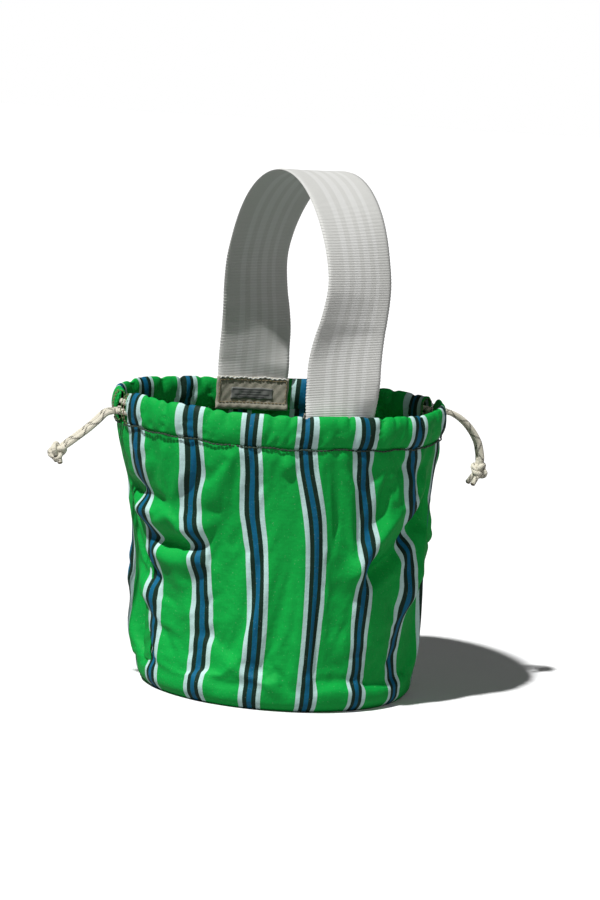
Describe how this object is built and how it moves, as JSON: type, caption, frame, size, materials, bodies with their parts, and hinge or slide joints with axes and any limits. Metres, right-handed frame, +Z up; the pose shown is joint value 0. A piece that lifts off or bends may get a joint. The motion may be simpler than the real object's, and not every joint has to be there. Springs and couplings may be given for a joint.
{
  "type": "fruit picking bag",
  "caption": "Small drawstring picking bag of striped cotton with a rolled rim casing, a wide webbing handle and knotted drawcords at both sides.",
  "frame": {"origin": "middle of the base, on the surface the bag stands on", "axes": "+Z up, +X from the left cord slit to the right cord slit, -Y towards the front wall; the handle spans from the front wall to the back wall"},
  "size_m": [0.3192, 0.188, 0.351],
  "materials": {
    "striped_cotton": "plain weave with woven stripes",
    "webbing": "satin ribbed webbing",
    "twill": "matt twill",
    "cord": "braided with a dark tracer",
    "dark_thread": "twisted thread",
    "tan_thread": "twisted thread",
    "overlock": "overlocked edge",
    "label": "printed tape"
  },
  "bodies": {
    "bag": {"front_panel": "striped_cotton", "back_panel": "striped_cotton", "bottom_panel": "striped_cotton", "front_casing": "striped_cotton", "back_casing": "striped_cotton", "bottom_seam": "overlock", "left_side_seam": "overlock", "right_side_seam": "overlock", "front_left_slit_hem": "overlock", "front_right_slit_hem": "overlock", "back_left_slit_hem": "overlock", "back_right_slit_hem": "overlock", "front_casing_stitching": "dark_thread", "back_casing_stitching": "dark_thread", "front_handle_end": "webbing", "back_handle_end": "webbing", "front_anchor_patch": "twill", "back_anchor_patch": "twill", "front_anchor_stitching": "tan_thread", "back_anchor_stitching": "tan_thread", "back_label": "label", "left_drawcord": "cord", "right_drawcord": "cord"},
    "handle": {"handle_webbing": "webbing"},
    "left_pull": {"left_strand_a": "cord", "left_strand_b": "cord", "left_knot": "cord"},
    "right_pull": {"right_strand_a": "cord", "right_strand_b": "cord", "right_knot": "cord"}
  },
  "joints": [
    {"name": "handle_swing", "type": "hinge", "parent": "bag", "child": "handle", "pos_m": [0.01, 0, 0.225], "axis": [0, 1, 0], "range_deg": [-60, 60], "stiffness_Nm_per_rad": 0.12},
    {"name": "left_cord_pull", "type": "slide", "parent": "bag", "child": "left_pull", "axis": [-1, 0, 0], "range_m": [0, 0.1]},
    {"name": "right_cord_pull", "type": "slide", "parent": "bag", "child": "right_pull", "axis": [1, 0, 0], "range_m": [0, 0.1]}
  ]
}
